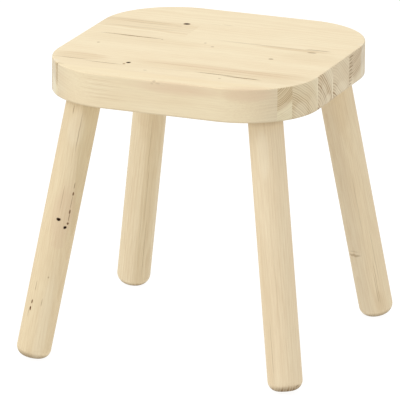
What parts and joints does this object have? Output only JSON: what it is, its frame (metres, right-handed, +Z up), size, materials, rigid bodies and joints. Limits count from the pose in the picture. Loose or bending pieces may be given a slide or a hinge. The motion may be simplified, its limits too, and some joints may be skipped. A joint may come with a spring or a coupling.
{
  "type": "wooden stool",
  "caption": "Low unfinished pine stool: a thick rounded-square seat glued up from edge-jointed staves on splayed round legs that screw into angled recesses under it.",
  "frame": {"origin": "on the floor, under the middle of the seat", "axes": "+Z up; -Y is the front, and the staves' grain runs along X"},
  "size_m": [0.2792, 0.2748, 0.28],
  "materials": {
    "seat_pine": "bare sanded pine, edge-glued, with small knots",
    "leg_pine": "bare sanded pine, turned round",
    "zinc_steel": "zinc-plated",
    "zinc_insert": "plated die-cast"
  },
  "bodies": {
    "root": {"seat_stave_1": "seat_pine", "seat_stave_2": "seat_pine", "seat_stave_3": "seat_pine", "seat_stave_4": "seat_pine", "seat_stave_5": "seat_pine", "seat_stave_6_left": "seat_pine", "seat_stave_6_right": "seat_pine", "seat_stave_7": "seat_pine", "leg_front_left": "leg_pine", "leg_front_right": "leg_pine", "leg_back_right": "leg_pine", "leg_back_left": "leg_pine", "hanger_bolt_front_left": "zinc_steel", "hanger_bolt_front_right": "zinc_steel", "hanger_bolt_back_right": "zinc_steel", "hanger_bolt_back_left": "zinc_steel", "threaded_insert_front_left": "zinc_insert", "threaded_insert_front_right": "zinc_insert", "threaded_insert_back_right": "zinc_insert", "threaded_insert_back_left": "zinc_insert"}
  },
  "joints": []
}
